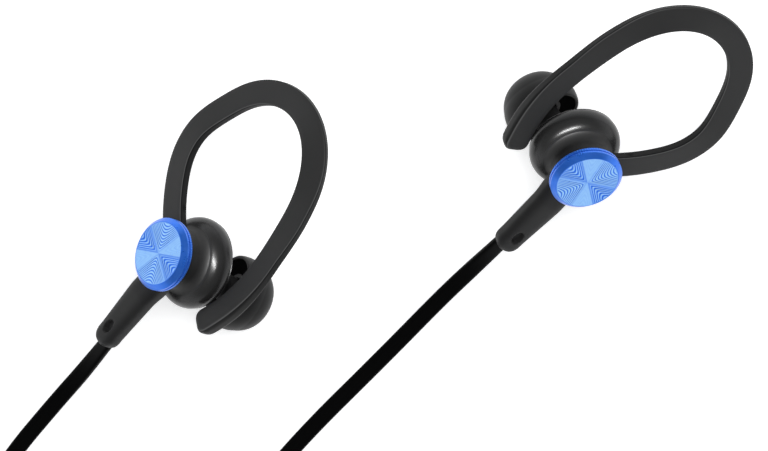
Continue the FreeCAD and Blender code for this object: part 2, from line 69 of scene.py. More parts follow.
left_route = [
    (-51.29, 16.98, 6.47), (-55.91, 11.2, 3.45), (-60.8, 5.8, 0.62), (-69.4, -4.4, 0.62),
    (-77.0, -17.5, 0.62), (-79.8, -30.5, 0.62), (-79.0, -42.5, 0.62), (-75.0, -54.0, 0.62),
    (-68.6, -61.6, 1.1), (-61.8, -64.7, 2.6), (-55.8, -64.7, 2.6),
]
right_route = [
    (14.74, 33.59, 6.47), (9.3, 28.56, 3.44), (3.6, 23.2, 0.62), (-6.2, 13.2, 0.62),
    (-20.6, -1.0, 0.62), (-30.0, -12.5, 0.62), (-31.5, -25.0, 0.62), (-24.0, -34.0, 0.62),
    (-11.5, -36.3, 0.62), (6.0, -33.6, 0.9), (22.5, -33.25, 1.8),
]
tail_route = [(22.5, -66.7, 4.65), (17.5, -66.3, 3.9), (11.2, -64.7, 2.6), (5.2, -64.7, 2.6)]
coil_centre = (24.0, -50.0)
coil_outer, coil_inner = 16.725, 14.275
coil_turns = 3.5
coil_low, coil_high = 1.8, 4.65
coil_points_per_turn = 16
coil_rise_start, coil_rise_share = 0.46, 0.08
cable_width, cable_thickness, cable_edge = 2.8, 1.2, 0.5
steps_per_point = 10


def coil_route():
    """Control points of the wound turns: in along the lower layer, up at the inside and out along the
    upper."""
    count = int(coil_turns * coil_points_per_turn)
    t = np.arange(1, count) / count
    angle = math.pi / 2 - t * coil_turns * tau
    depth = 1 - np.abs(2 * t - 1)
    spread = 1 / math.cos(math.pi / coil_points_per_turn)
    radius = (coil_outer + (coil_inner - coil_outer) * depth) * spread
    rise = smooth((t - coil_rise_start) / coil_rise_share)
    return list(zip(coil_centre[0] + radius * np.cos(angle), coil_centre[1] + radius * np.sin(angle),
                    coil_low + (coil_high - coil_low) * rise))


def smooth(t):
    """Eased step from 0 to 1."""
    t = np.clip(t, 0, 1)
    return t * t * (3 - 2 * t)


def smooth_line(points):
    """Points along the NURBS spline that has these control points, in millimetres."""
    curve = bpy.data.curves.new("route", "CURVE")
    curve.dimensions = "3D"
    curve.resolution_u = steps_per_point
    spline = curve.splines.new("NURBS")
    spline.points.add(len(points) - 1)
    spline.points.foreach_set("co", np.c_[np.array(points) * mm, np.ones(len(points))].ravel())
    spline.order_u = 3
    spline.use_endpoint_u = True
    holder = bpy.data.objects.new("route", curve)
    line = bpy.data.meshes.new_from_object(holder)
    at = np.empty(len(line.vertices) * 3)
    line.vertices.foreach_get("co", at)
    bpy.data.objects.remove(holder)
    bpy.data.curves.remove(curve)
    bpy.data.meshes.remove(line)
    return at.reshape(-1, 3) / mm


# ---------------------------------------------------------------- surfaces

merge_distance, sliver_length = 2e-7, 1e-8
points_per_rounding = 9
squareness = 0.16


def mesh_object(name, grids, sharp=38.0, tone=None):
    """Object from grids of points (rows, columns, 3) in millimetres, whose columns run round. A grid comes as
    (points, loop): loop joins its last row to its first one, and otherwise its two ends are closed. Edges
    past the sharp angle stay crisp. The tone is one number per point, which the materials read."""
    points, faces, base = [], [], 0
    for grid, loop in grids:
        rows, columns = grid.shape[:2]
        i = np.arange(rows if loop else rows - 1)[:, None]
        j = np.arange(columns)[None, :]
        on, beside = (i + 1) % rows * columns, (j + 1) % columns
        quads = np.stack([i * columns + j, i * columns + beside, on + beside, on + j], -1).reshape(-1, 4)
        faces += (quads + base).tolist()
        if not loop:
            faces.append((np.arange(columns)[::-1] + base).tolist())
            faces.append((np.arange(columns) + (rows - 1) * columns + base).tolist())
        points.append(grid.reshape(-1, 3))
        base += rows * columns
    mesh = bpy.data.meshes.new(name)
    mesh.from_pydata((np.concatenate(points) * mm).tolist(), [], faces)
    if tone is not None:
        layer = mesh.attributes.new("tone", "FLOAT", "POINT")
        layer.data.foreach_set("value", tone.ravel().astype(np.float32))
    work = bmesh.new()
    work.from_mesh(mesh)
    bmesh.ops.remove_doubles(work, verts=work.verts, dist=merge_distance)
    bmesh.ops.dissolve_degenerate(work, edges=work.edges, dist=sliver_length)
    bmesh.ops.recalc_face_normals(work, faces=work.faces)
    work.to_mesh(mesh)
    work.free()
    mesh.shade_smooth()
    mesh.set_sharp_from_angle(angle=math.radians(sharp))
    thing = bpy.data.objects.new(name, mesh)
    scene.collection.objects.link(thing)
    return thing


def rounded(corners, closed=False):
    """Profile through corners (r, z, rounding), each rounding an arc that is tangent to both its sides."""
    at = np.array([c[:2] for c in corners], float)
    out = []
    for k, (r, z, rounding) in enumerate(corners):
        before, after = at[k - 1], at[(k + 1) % len(at)]
        if rounding <= 0 or (not closed and k in (0, len(corners) - 1)):
            out.append(at[k:k + 1])
            continue
        back = (before - at[k]) / np.linalg.norm(before - at[k])
        on = (after - at[k]) / np.linalg.norm(after - at[k])
        half = math.acos(np.clip(back @ on, -1, 1)) / 2
        middle = at[k] + (back + on) / np.linalg.norm(back + on) * rounding / math.sin(half)
        first = at[k] + back * rounding / math.tan(half) - middle
        last = at[k] + on * rounding / math.tan(half) - middle
        t = np.linspace(0, 1, points_per_rounding)[:, None]
        turn = math.pi - 2 * half
        bend = (first * np.sin((1 - t) * turn) + last * np.sin(t * turn)) / math.sin(turn)
        out.append(middle + bend)
    return np.concatenate(out)


def arc(start, middle, end, count):
    """Points of the circle through three points, from the first to the last."""
    a, b, c = (np.array(p, float) for p in (start, middle, end))
    m = 2 * np.array([b - a, c - a])
    centre = np.linalg.solve(m, [b @ b - a @ a, c @ c - a @ a])
    radius = np.linalg.norm(a - centre)
    first = math.atan2(*(a - centre)[::-1])
    turns = [(math.atan2(*(p - centre)[::-1]) - first) % tau for p in (b, c)]
    whole = turns[1] if turns[0] < turns[1] else turns[1] - tau
    angle = first + np.linspace(0, 1, count) * whole
    return centre + radius * np.c_[np.cos(angle), np.sin(angle)]


def lathe(profile, columns=96):
    """Profile points (r, z) turned about z: (r cos a, r sin a, z)."""
    a = np.arange(columns) / columns * tau
    r, z = profile[:, :1], profile[:, 1:]
    return np.stack([r * np.cos(a), r * np.sin(a), z + 0 * a], -1)


def walk(around):
    """Angles once round a section, none of them on its axes."""
    return (np.arange(around) + 0.5) / around * tau


def section(width, thickness, corner, around):
    """Points round a rounded rectangle: the point at the same angle on a rectangle shrunk by the corner, plus
    the corner's circle, as arrays (stations, around) of distances along the width and the thickness."""
    a = walk(around)
    c = np.sign(np.cos(a)) * np.abs(np.cos(a)) ** squareness
    s = np.sign(np.sin(a)) * np.abs(np.sin(a)) ** squareness
    size = np.maximum(np.abs(c), np.abs(s))
    w, h, k = (np.asarray(v, float).reshape(-1, 1) for v in (width, thickness, corner))
    return ((w / 2 - k) * c / size + k * np.cos(a), (h / 2 - k) * s / size + k * np.sin(a))


def sweep(line, across, normal, width, thickness, corner, around):
    """Band: line + across * a + normal * b for the section's points (a, b) at each station."""
    a, b = section(width, thickness, corner, around)
    return line[:, None] + across[:, None] * a[..., None] + normal[:, None] * b[..., None]


def unit(v):
    """The same directions, one long."""
    return v / np.linalg.norm(v, axis=-1, keepdims=True)


def frames(line, hint):
    """Directions across and normal to a line, the normal as near to the hint as it can be."""
    along = unit(np.gradient(line, axis=0))
    normal = unit(hint - along * np.sum(along * hint, -1, keepdims=True))
    return np.cross(along, normal), normal


def distances(line):
    """Distance run along a line up to each of its points."""
    return np.r_[0, np.cumsum(np.linalg.norm(np.diff(line, axis=0), axis=1))]


def eased(share, stops):
    """Value at each share, eased between (share, value) stops."""
    value = np.full(np.shape(share), float(stops[0][1]))
    for (start, low), (end, high) in zip(stops, stops[1:]):
        value = value + (high - low) * smooth((share - start) / (end - start))
    return value


# ---------------------------------------------------------------- where the earpieces lie

def turn_z(degrees):
    c, s = math.cos(math.radians(degrees)), math.sin(math.radians(degrees))
    return np.array([[c, -s, 0], [s, c, 0], [0, 0, 1]])


def turn_y(degrees):
    c, s = math.cos(math.radians(degrees)), math.sin(math.radians(degrees))
    return np.array([[c, 0, s], [0, 1, 0], [-s, 0, c]])


left_attitude = turn_z(165.0) @ turn_y(45.5) @ turn_z(148.0)
mirror_line = np.array([math.cos(math.radians(227.0)), math.sin(math.radians(227.0)), 0])
mirror = 2 * np.outer(mirror_line, mirror_line) - np.eye(3)
mirror[2, 2] = 1.0
attitude = {"left": left_attitude, "right": mirror @ left_attitude}
cap_at = {"left": np.array([-43.7, 30.4, 15.75]), "right": np.array([27.6, 42.1, 15.75])}


def put(side, grid):
    """A grid from the earpiece's frame to where the earpiece lies."""
    return grid @ attitude[side].T + cap_at[side]


nozzle_at = np.array([3.97, -0.84, -14.9])
nozzle_turn = turn_y(160.0)


def on_nozzle(grid):
    """A grid from the nozzle's frame, its origin at the nozzle's root, to the earpiece's frame."""
    return grid @ nozzle_turn.T + nozzle_at


# ---------------------------------------------------------------- materials

noise_roughness = 0.55
drift_scale, grain_scale, grain_detail = 60.0, 900.0, 4.0
roughness_drift = 0.08
grain_strength = 0.35


class Value:
    """A socket's value; arithmetic on it adds the node that works it out."""

    def __init__(self, finish, socket):
        self.finish, self.socket = finish, socket

    def maths(self, operation, *values):
        return self.finish.node("ShaderNodeMath", {"operation": operation}, dict(enumerate(values)))[0]

    def __add__(self, other):
        return self.maths("ADD", self, other)

    def __mul__(self, other):
        return self.maths("MULTIPLY", self, other)

    def __sub__(self, other):
        return self.maths("SUBTRACT", self, other)

    def __rsub__(self, other):
        return self.maths("SUBTRACT", other, self)

    def __pow__(self, other):
        return self.maths("POWER", self, other)


class Graph:
    """Nodes of a material or of the world."""

    def __init__(self, owner):
        owner.use_nodes = True
        self.nodes = owner.node_tree.nodes
        self.links = owner.node_tree.links

    def node(self, kind, settings, inputs):
        """Adds a node with settings and inputs (values or numbers), and gives its outputs."""
        made = self.nodes.new(kind)
        for key, value in settings.items():
            setattr(made, key, value)
        for key, value in inputs.items():
            self.feed(made.inputs[key], value)
        return Outputs(self, made)

    def feed(self, socket, value):
        if isinstance(value, Value):
            self.links.new(value.socket, socket)
        else:
            socket.default_value = value

    def ramp(self, value, low, high):
        """Eased 0 to 1 between two values."""
        return self.node("ShaderNodeMapRange", {"interpolation_type": "SMOOTHSTEP"},
                         {"Value": value, "From Min": low, "From Max": high})["Result"]


class Finish(Graph):
    """A material made of one principled surface and what feeds it."""

    def __init__(self, name, **constants):
        self.material = bpy.data.materials.new(name)
        super().__init__(self.material)
        self.surface = self.nodes["Principled BSDF"]
        for key, value in constants.items():
            self.surface.inputs[key.replace("_", " ").title().replace("Ior", "IOR")].default_value = value
        self.place = self.node("ShaderNodeTexCoord", {}, {})["Object"]

    def attribute(self, name):
        return self.node("ShaderNodeAttribute", {"attribute_name": name}, {})["Fac"]

    def noise(self, scale, detail=3.0):
        return self.node("ShaderNodeTexNoise", {}, {"Vector": self.place, "Scale": scale, "Detail": detail,
                                                    "Roughness": noise_roughness})["Fac"]

    def between(self, factor, first, second):
        mix = self.node("ShaderNodeMix", {"data_type": "RGBA"}, {0: factor, 6: (*first, 1), 7: (*second, 1)})
        return mix[2]

    def bump(self, height, strength, distance):
        bump = self.node("ShaderNodeBump", {}, {"Height": height, "Strength": strength, "Distance": distance})
        self.feed(self.surface.inputs["Normal"], bump["Normal"])

    def set(self, key, value):
        self.feed(self.surface.inputs[key], value)


class Outputs:
    """A node's outputs by name or number, each as a Value."""

    def __init__(self, finish, made):
        self.finish, self.made = finish, made

    def __getitem__(self, key):
        return Value(self.finish, self.made.outputs[key])


def grained(name, dark, light, roughness, relief=0.00002, **constants):
    """Moulded plastic or rubber: colour and roughness drift a little, with a fine grain pressed in."""
    finish = Finish(name, **constants)
    drift = finish.noise(drift_scale)
    finish.set("Base Color", finish.between(drift, dark, light))
    finish.set("Roughness", drift * roughness_drift + (roughness - roughness_drift / 2))
    finish.bump(finish.noise(grain_scale, grain_detail), grain_strength, relief)
    return finish.material


def grey(level):
    """A colour without hue."""
    return (level, level, level)


stem_rubber = grained("Stem soft rubber", grey(0.009), grey(0.012), 0.55, specular_ior_level=0.3)
silicone = grained("Eartip silicone", grey(0.007), grey(0.010), 0.5, relief=0.00001, specular_ior_level=0.2)
cable_jacket = grained("Cable jacket", grey(0.0005), grey(0.001), 0.42, relief=0.000008,
                       specular_ior_level=0.1)
control_plastic = grained("Control box plastic", grey(0.014), grey(0.020), 0.38, relief=0.00001)
key_rubber = grained("Key rubber", grey(0.024), grey(0.032), 0.5)
tie_rubber = grained("Cable tie rubber", grey(0.016), grey(0.022), 0.5)
driver_plastic = grained("Driver frame plastic", grey(0.05), grey(0.07), 0.5)
film = grained("Diaphragm film", (0.30, 0.24, 0.12), (0.36, 0.29, 0.16), 0.3)
insulation = grained("Lead insulation", (0.35, 0.03, 0.02), (0.42, 0.05, 0.03), 0.4)
foil = grained("Battery foil", (0.50, 0.50, 0.48), (0.62, 0.62, 0.60), 0.3, metallic=0.7)
board_green = grained("Circuit board", (0.01, 0.08, 0.03), (0.02, 0.11, 0.04), 0.35)
steel = grained("Driver steel", grey(0.42), grey(0.50), 0.3, metallic=1.0)
nickel = grained("Magnet plating", grey(0.55), grey(0.62), 0.22, metallic=1.0)
copper = grained("Copper winding", (0.60, 0.24, 0.10), (0.70, 0.30, 0.14), 0.3, metallic=1.0)
clear = grained("Clear light pipe", grey(0.75), grey(0.82), 0.15, transmission_weight=0.6)


def woven_steel():
    """Nozzle screen: steel with round holes on a fine square grid, the holes painted dark as painted shade.
    """
    holes_per_metre, hole_edge, hole_rim = 2400.0, 0.25, 0.4
    finish = Finish("Nozzle steel mesh", metallic=1.0, roughness=0.35)
    cell = finish.node("ShaderNodeTexVoronoi", {}, {"Vector": finish.place, "Scale": holes_per_metre,
                                                    "Randomness": 0.0})["Distance"]
    wire = finish.node("ShaderNodeMapRange", {}, {"Value": cell, "From Min": hole_edge, "From Max": hole_rim})
    # painted shade: the holes are near-black colour, not openings
    finish.set("Base Color", finish.between(wire["Result"], grey(0.01), grey(0.45)))
    return finish.material


def anodised():
    """Blue anodised aluminium: deep blue at tone 0, paler blue and more metallic as the tone goes up to 1;
    the tone carries painted reflection and painted shade.
    """
    deep_blue, light_blue = (0.002, 0.12, 0.68), (0.30, 0.54, 0.84)
    cloud_scale, scratch_scale = 700.0, 4000.0
    finish = Finish("Blue anodised aluminium")
    cloud = finish.noise(cloud_scale, 4.0)
    tone = finish.attribute("tone")
    shade = tone + (cloud - 0.5) * 0.2
    finish.set("Metallic", tone * 0.6 + 0.55)
    # colour from the tone: painted reflection and painted shade on the blue
    finish.set("Base Color", finish.between(shade, deep_blue, light_blue))
    finish.set("Roughness", cloud * 0.1 + 0.24)
    finish.bump(finish.noise(scratch_scale, 2.0), 0.2, 0.00001)
    return finish.material


def housing():
    """Black housing plastic: satin on the neck and its flare (tone 0), glossy on the round body (tone 1)."""
    satin, glossier = 0.52, 0.28
    finish = Finish("Housing black plastic", specular_ior_level=0.3)
    drift = finish.noise(drift_scale)
    finish.set("Base Color", finish.between(drift, grey(0.006), grey(0.009)))
    finish.set("Roughness", satin - finish.attribute("tone") * glossier + drift * 0.05)
    finish.bump(finish.noise(grain_scale, grain_detail), 0.3, 0.000004)
    return finish.material


def edged_rubber():
    """Hook rubber: side walls darkened as painted shade (tone 0), the flat faces (tone 1) and a painted
    highlight line along the edge between a face and a side wall (tone 2); the lightness goes with the tone's
    square."""
    finish = Finish("Hook soft rubber", specular_ior_level=0.22)
    drift = finish.noise(drift_scale)
    # painted shade on the side walls and a painted highlight on one edge, read from the tone
    painted_shade_and_glint = (finish.attribute("tone") * 0.5) ** 2.0
    finish.set("Base Color", finish.between(painted_shade_and_glint * (drift * 0.24 + 0.88), grey(0.002), grey(0.090)))
    finish.set("Roughness", drift * roughness_drift + 0.51)
    finish.bump(finish.noise(grain_scale, grain_detail), grain_strength, 0.00003)
    return finish.material


hook_rubber = edged_rubber()
screen_steel = woven_steel()
shell_plastic = housing()
blue_metal = anodised()

# ---------------------------------------------------------------- earpiece pieces, in the earpiece's frame

body_radius, body_roll, body_depth = 7.75, 2.6, 8.8
seam_depth = 9.9
neck_radius = 5.0
housing_columns = 144


def rim_point(degrees):
    """Point (r, z) of the round rim: 90 degrees is its back, 0 its widest and -90 its front."""
    a = math.radians(degrees)
    return (body_radius - body_roll + body_roll * math.cos(a), -body_depth + body_roll * math.sin(a))


seam_radius = body_radius - body_roll + math.sqrt(body_roll ** 2 - (seam_depth - body_depth) ** 2)

cap_radius, cap_face_radius, cap_depth = 6.15, 5.38, 2.0
chamfer_depth = 0.75
groove_radius, groove_top, groove_bottom = 6.0, 1.2, 1.4
stud_radius, stud_depth = 3.95, 2.9
line_pitch = 0.3
line_height = 0.035
spokes = np.radians([35.5, 75.0, 161.5, 215.5, 255.0, 341.5, 395.5])
sector_lines = (0.12, 1.0, 1.0, 0.12, 1.0, 1.0)
# painted reflection: how bright each sector's face is painted, as its lines would catch the light
sector_painted_sheen = (0.80, 0.60, 0.34, 0.80, 0.60, 0.34)
edge_tone = 0.1
# painted shade down in the lines and painted highlight on their crests
line_painted_shade_and_highlight = 1.15
bow_sharpness = 3
rib_count, rib_depth = 90, 0.05


def cap_grid():
    """Turned cap. Its face carries fine nested lines z = h (cos(tau s / pitch) - 1) / 2, where
    s = (p^-n + q^-n)^(-1/n) with p and q the distances to the sector's two spokes, and its side wall carries
    fine ribs r = r0 - d (1 - cos(n a)) / 2. The tone on the face is painted light: a painted reflection
    level for each sector, with painted shade down in the lines and painted highlight on their crests."""
    columns, rows = 450, 130
    break_in = 0.15
    under = rounded([
        (0, -stud_depth, 0), (stud_radius, -stud_depth, 0.1), (stud_radius, -cap_depth, 0),
        (cap_radius - break_in, -cap_depth, 0.08), (cap_radius, break_in - cap_depth, 0.05),
        (cap_radius, -groove_bottom - 0.02, 0.02), (groove_radius, -groove_bottom, 0),
        (groove_radius, -groove_top, 0), (cap_radius, 0.02 - groove_top, 0.02),
        (cap_radius, -chamfer_depth, 0.07), (cap_face_radius + 0.02, -0.02, 0.05),
        (cap_face_radius - 0.1, 0, 0)])
    face = np.c_[np.linspace(cap_face_radius - 0.12, 0, rows), np.zeros(rows)]
    grid = lathe(np.concatenate([under, face]), columns)
    a = (np.arange(columns) / columns * tau - spokes[0]) % tau + spokes[0]
    sector = np.clip(np.searchsorted(spokes, a, side="right") - 1, 0, 5)
    near, far = np.sin(np.clip([a - spokes[sector], spokes[sector + 1] - a], 0.004, math.pi / 2))
    radius = face[:, :1]
    s = radius * (near ** -bow_sharpness + far ** -bow_sharpness) ** (-1 / bow_sharpness)
    fade = smooth((cap_face_radius - 0.15 - radius) / 0.2) * smooth((s - 0.5 * line_pitch) / line_pitch)
    weight = fade * np.array(sector_lines)[sector]
    wave = (0.5 * np.cos(tau * s / line_pitch) - 0.5) * weight
    grid[-rows:, :, 2] += line_height * wave
    tone = np.full(grid.shape[:2], edge_tone)
    # face tone: each sector's painted reflection plus painted shade and highlight along the lines
    tone[-rows:] = np.array(sector_painted_sheen)[sector] + line_painted_shade_and_highlight * (wave + 0.5 * weight)
    around = np.arange(columns) / columns * tau
    depth = -grid[..., 2]
    side = (np.hypot(grid[..., 0], grid[..., 1]) > cap_radius - 0.05) & (depth > chamfer_depth + 0.1)
    side &= depth < cap_depth - 0.1
    rib = 1 - rib_depth / cap_radius * side * (0.5 - 0.5 * np.cos(rib_count * around))
    grid[..., :2] *= rib[..., None]
    return grid, tone


def rear_shell_grid():
    """Neck, concave flare and rounded rim turned about the cap's axis, with the wall's inside. The tone is
    1 on the glossy rim and 0 on the satin neck and flare."""
    neck_end, neck_bore = -4.4, 4.0
    cavity_radius, cavity_top, cavity_roof = 6.55, -7.6, -6.9
    start, middle = rim_point(75), rim_point(30)
    flare = (neck_radius + 0.25 * (start[0] - neck_radius), neck_end + 0.62 * (start[1] - neck_end))
    wall = np.concatenate([
        rounded([(neck_bore, -cap_depth, 0), (neck_radius, -cap_depth, 0.12), (neck_radius, neck_end, 0)]),
        arc((neck_radius, neck_end), flare, start, 16)[1:],
        arc(start, middle, (body_radius, -body_depth), 28)[1:],
        arc((body_radius, -body_depth), rim_point(-12), (seam_radius, -seam_depth), 12)[1:],
        rounded([(seam_radius, -seam_depth, 0), (seam_radius - 0.12, -seam_depth - 0.02, 0),
                 (cavity_radius, -seam_depth, 0), (cavity_radius, cavity_top, 0.4),
                 (neck_bore, cavity_roof, 0)])])
    grid = lathe(wall, housing_columns)
    return grid, smooth((start[1] + 0.15 - grid[..., 2]) / 0.3)


def front_shell_grids():
    """Front of the housing turned about the cap's axis, and the hollow nozzle with its lip."""
    seam_gap, tongue_height = 0.06, 0.6
    top, front, front_radius = -seam_depth - seam_gap, -12.2, 4.95
    dome = np.concatenate([
        rounded([(6.5, top + tongue_height, 0), (seam_radius - 0.12, top + 0.02, 0),
                 (seam_radius, top - 0.08, 0)]),
        arc((seam_radius, top - 0.08), rim_point(-60), (front_radius, front), 24)[1:],
        rounded([(front_radius, front, 0), (3.0, front - 0.5, 1.0), (0, front - 0.7, 0)])[1:]])
    inside = rounded([(0, -11.6, 0), (5.1, -11.4, 0.3), (5.4, top + tongue_height, 0)])
    shell = np.concatenate([dome, inside])
    nozzle_radius, waist_radius, nozzle_bore = 2.35, 2.15, 1.6
    root, lip, mouth = -3.8, 5.05, 6.0
    nozzle = rounded([
        (nozzle_bore, root, 0), (nozzle_radius, root, 0), (nozzle_radius, 0.4, 0), (waist_radius, 0.55, 0.1),
        (waist_radius, 4.9, 0.1), (nozzle_radius, lip, 0.05), (nozzle_radius, mouth, 0.25),
        (nozzle_bore, mouth, 0.1)], closed=True)
    return [(lathe(shell, housing_columns), True), (on_nozzle(lathe(nozzle, 64)), True)]


def eartip_grid():
    """Silicone mushroom: a thin skirt folded back over a core that grips the nozzle, all circular arcs."""
    rim, belly, high, wall, bore, core = 6.1, 6.4, 7.3, 0.55, 2.42, 0.75
    core_radius, core_start, crown = bore + core, 0.8, high - 1.6
    low, full = (belly - 0.04, 0.26 * high), (belly - 0.55, 0.53 * high)
    shoulder, mouth = (0.7 * belly, 0.84 * high), (bore + 0.1, high)
    inner_low, inner_full = (low[0] - wall, low[1]), (full[0] - wall, full[1] - 0.1)
    profile = np.concatenate([
        arc((rim, 0), low, full, 20), arc(full, shoulder, mouth, 26)[1:],
        rounded([(*mouth, 0), (bore, high - 0.2, 0.1), (bore, core_start, 0.1),
                 (core_radius, core_start, 0.15), (core_radius, crown, 0)])[1:],
        arc((core_radius, crown), (0.62 * belly, crown - 0.3), inner_full, 14)[1:],
        arc(inner_full, inner_low, (rim - wall, 0), 18)[1:],
        arc((rim - wall, 0), (rim - wall / 2, -0.22), (rim, 0), 7)[1:-1]])
    return on_nozzle(lathe(profile, 128))


stem_length, stem_depth, stem_start = 20.1, 3.75, 3.6
stem_end_width, stem_root_width, stem_thickness = 4.6, 6.3, 3.2
stem_end_round = 2.25
dimple_at, dimple_width, dimple_length, dimple_depth = 16.4, 0.85, 1.35, 0.75


def stem_grid():
    """Tapered stem: at a distance d from the cap's axis the section is w(d) wide and t(d) thick, swelling a
    little at the root, closing in a round end, with an oval dimple near the end. A section is the curve
    x = w/2 cos(a)^q, z = t/2 sin(a)^q, and the stem rises slightly from the root to the end."""
    rows, around, fullness = 150, 120, 0.62
    closed = 0.0004
    t = np.linspace(0, 1, rows)
    d = stem_start + (stem_length - stem_start) * np.sin(t * math.pi / 2) ** 0.9
    swell = smooth((8.4 - d) / 4.4) ** 1.6
    taper = np.clip((17 - d) / 14, 0, 1)
    into = np.clip((d - (stem_length - stem_end_round)) / stem_end_round, 0, 1)
    width = stem_end_width + (stem_root_width - stem_end_width) * taper + 0.4 * swell
    width = width * np.sqrt(np.clip(1 - into ** 2.2, closed, 1))
    thickness = (stem_thickness + 0.25 * swell) * np.clip(1 - into ** 4, closed, 1) ** 0.35
    a = walk(around)
    x = width[:, None] / 2 * np.sign(np.cos(a)) * np.abs(np.cos(a)) ** fullness
    z = thickness[:, None] / 2 * np.sign(np.sin(a)) * np.abs(np.sin(a)) ** fullness
    y = -d[:, None] + 0 * a
    reach = (x / dimple_width) ** 2 + ((y + dimple_at) / dimple_length) ** 2
    dimple = dimple_depth * smooth(1.6 * (1.1 - reach)) * (z > 0)
    lift = (0.35 * smooth((d - 6) / 3) + 0.4 * np.clip((d - 6) / 14, 0, 1))[:, None]
    return np.stack([x, y, z - stem_depth - dimple + lift], -1)


hook_line = np.array([
    (-2.2, 1.4, -4.3), (-6.7, 4.5, -4.3), (-10.8, 8.0, -4.6), (-13.8, 11.4, -5.2), (-15.5, 16.0, -6.1),
    (-14.6, 21.6, -7.1), (-12.4, 26.8, -7.7), (-8.0, 31.2, -8.2), (-2.0, 32.9, -8.6), (3.6, 31.6, -8.8),
    (8.2, 27.4, -9.0), (10.8, 21.6, -9.0), (12.1, 13.6, -9.0), (12.5, 6.0, -9.0), (11.6, 0.2, -9.0),
    (9.2, -6.0, -9.0)])
hook_twist = [(0, 0), (0.42, 0), (0.6, -26.0), (0.7, -10.4), (0.8, 0)]
hook_pivot_at, hook_knuckle = 5.7, 0.75
hook_width, hook_end_width = 4.3, 4.4
hook_thickness, hook_end_thickness = 1.5, 3.0
hook_edge, hook_end_edge = 0.24, 1.0
hook_around = 72
tip_round = 2.2


def through(points, count):
    """Points of the natural cubic spline through given points, evenly spaced by chord length."""
    knots = distances(points)
    gap = np.diff(knots)
    n = len(points)
    system = np.eye(n)
    right = np.zeros((n, 3))
    k = np.arange(1, n - 1)
    system[k, k - 1] = gap[:-1]
    system[k, k] = 2 * (gap[:-1] + gap[1:])
    system[k, k + 1] = gap[1:]
    slope = np.diff(points, axis=0) / gap[:, None]
    right[1:-1] = 6 * np.diff(slope, axis=0)
    bend = np.linalg.solve(system, right)
    at = np.linspace(0, knots[-1], count)
    i = np.clip(np.searchsorted(knots, at, side="right") - 1, 0, n - 2)
    u = (at - knots[i])[:, None]
    v = (knots[i + 1] - at)[:, None]
    h = gap[i][:, None]
    return (bend[i] * v ** 3 / (6 * h) + bend[i + 1] * u ** 3 / (6 * h)
            + (points[i] / h - bend[i] * h / 6) * v + (points[i + 1] / h - bend[i + 1] * h / 6) * u)


def hook_grid(part):
    """Flat band swept along the hook's middle line: the root up to its bending line, or the arm from there to
    the thickened round tip. Both ends at the bending line are round, so that they turn in each other. The
    tone is 1 on the flat faces, 0 on the side walls as painted shade and up to 2 on a painted highlight line
    along one edge, which is one edge of the band near its root and the other near its tip."""
    line = through(hook_line, 1600)
    run = distances(line)
    total = run[-1]
    turn = np.radians(90 * np.linspace(0, 0.995, 14))
    if part == "root":
        rows = 24
        at = np.r_[np.linspace(0, hook_pivot_at, rows), hook_pivot_at + hook_knuckle * np.sin(turn[1:])]
        size = np.r_[np.ones(rows), np.cos(turn[1:])]
    else:
        rows = 320
        blunt = hook_end_thickness / 2
        at = np.r_[hook_pivot_at - hook_knuckle * np.sin(turn[:0:-1]),
                   np.linspace(hook_pivot_at, total - blunt, rows), total - blunt + blunt * np.sin(turn[1:])]
        size = np.r_[np.cos(turn[:0:-1]), np.ones(rows), np.cos(turn[1:])]
    share = at / total
    behind, centre, ahead = (np.stack([np.interp(at + step, run, line[:, k]) for k in range(3)], -1)
                             for step in (-0.05, 0, 0.05))
    along = unit(ahead - behind)
    flat = unit(np.array([0, 0, 1.0]) - along * along[:, 2:])
    twist = np.radians(eased(share, hook_twist))[:, None]
    normal = flat * np.cos(twist) + np.cross(along, flat) * np.sin(twist)
    across = np.cross(along, normal)
    width = eased(share, [(0, hook_width), (0.8, hook_width), (0.93, hook_end_width)])
    thick = eased(share, [(0, hook_thickness), (0.8, hook_thickness), (0.95, hook_end_thickness)])
    corner = eased(share, [(0, hook_edge), (0.8, hook_edge), (0.95, hook_end_edge)])
    into = np.clip((at - total + tip_round) / tip_round, 0, 1)
    trim = 0.8 * width * (1 - np.sqrt(1 - into ** 2))
    corner = corner * np.maximum(size, 0.05)
    grid = sweep(centre, across, normal, width - trim, thick * size, corner, hook_around)
    a = walk(hook_around)
    side = np.abs(np.cos(a)) - np.abs(np.sin(a))
    # tone: painted shade on the side walls, painted highlight on one edge near the root and the other near
    # the tip
    near_root, near_tip = 1 - smooth((share - 0.35) / 0.15), smooth((share - 0.5) / 0.15)
    painted_glint = np.where(np.cos(a) < 0, near_tip[:, None], near_root[:, None])
    return grid, 1 - smooth((side + 0.1) / 0.2) + painted_glint * np.exp(-((side + 0.12) / 0.17) ** 2)


